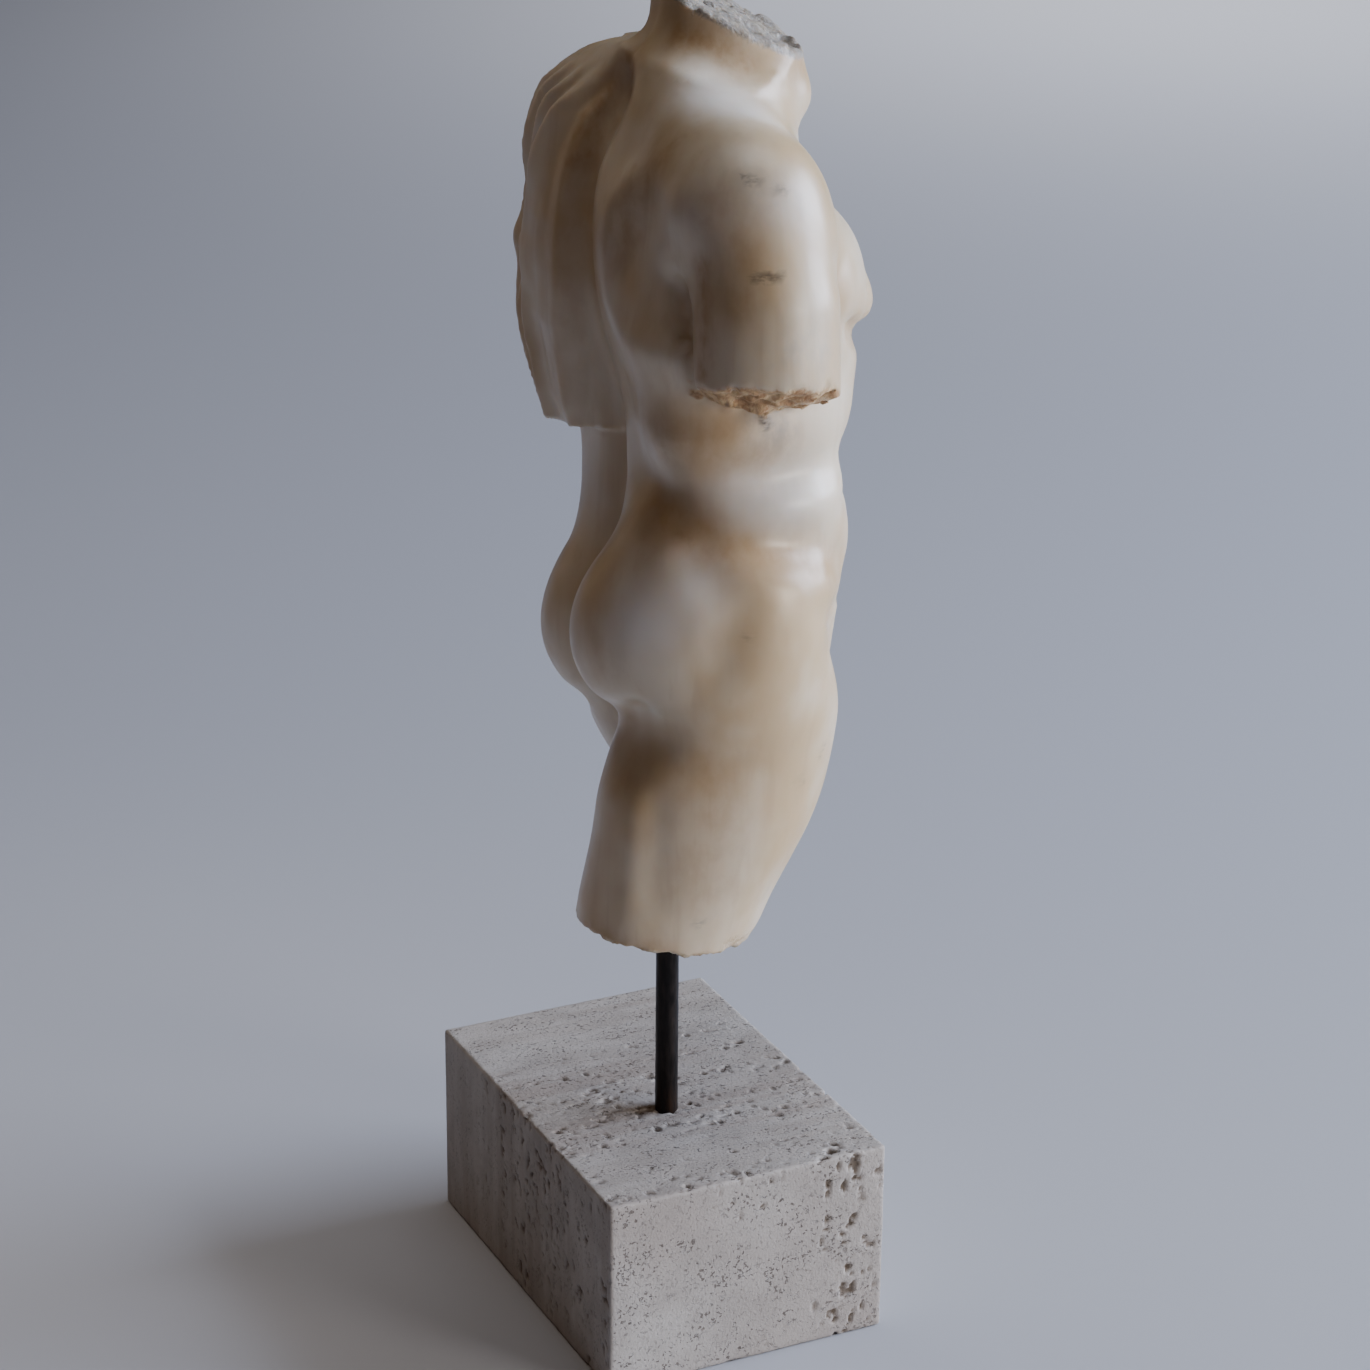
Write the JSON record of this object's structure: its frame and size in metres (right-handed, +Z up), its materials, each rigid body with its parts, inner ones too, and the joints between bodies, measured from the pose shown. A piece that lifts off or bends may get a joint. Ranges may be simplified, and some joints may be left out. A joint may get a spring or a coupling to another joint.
{
  "type": "marble male torso on a stand",
  "caption": "Marble male torso, its head, arms and legs broken off, with a cloak over the left shoulder, held on a steel rod in a travertine block.",
  "frame": {"origin": "centre of the block's underside", "axes": "+Z up along the rod, the figure faces -Y, and its right side is towards -X"},
  "size_m": [0.2469, 0.1743, 0.6643],
  "materials": {
    "marble": "soft polish, worn",
    "travertine": "honed, unfilled pits",
    "steel": "blackened, waxed"
  },
  "bodies": {
    "root": {"travertine_block": "travertine", "steel_rod": "steel", "marble_torso": "marble"}
  },
  "joints": []
}
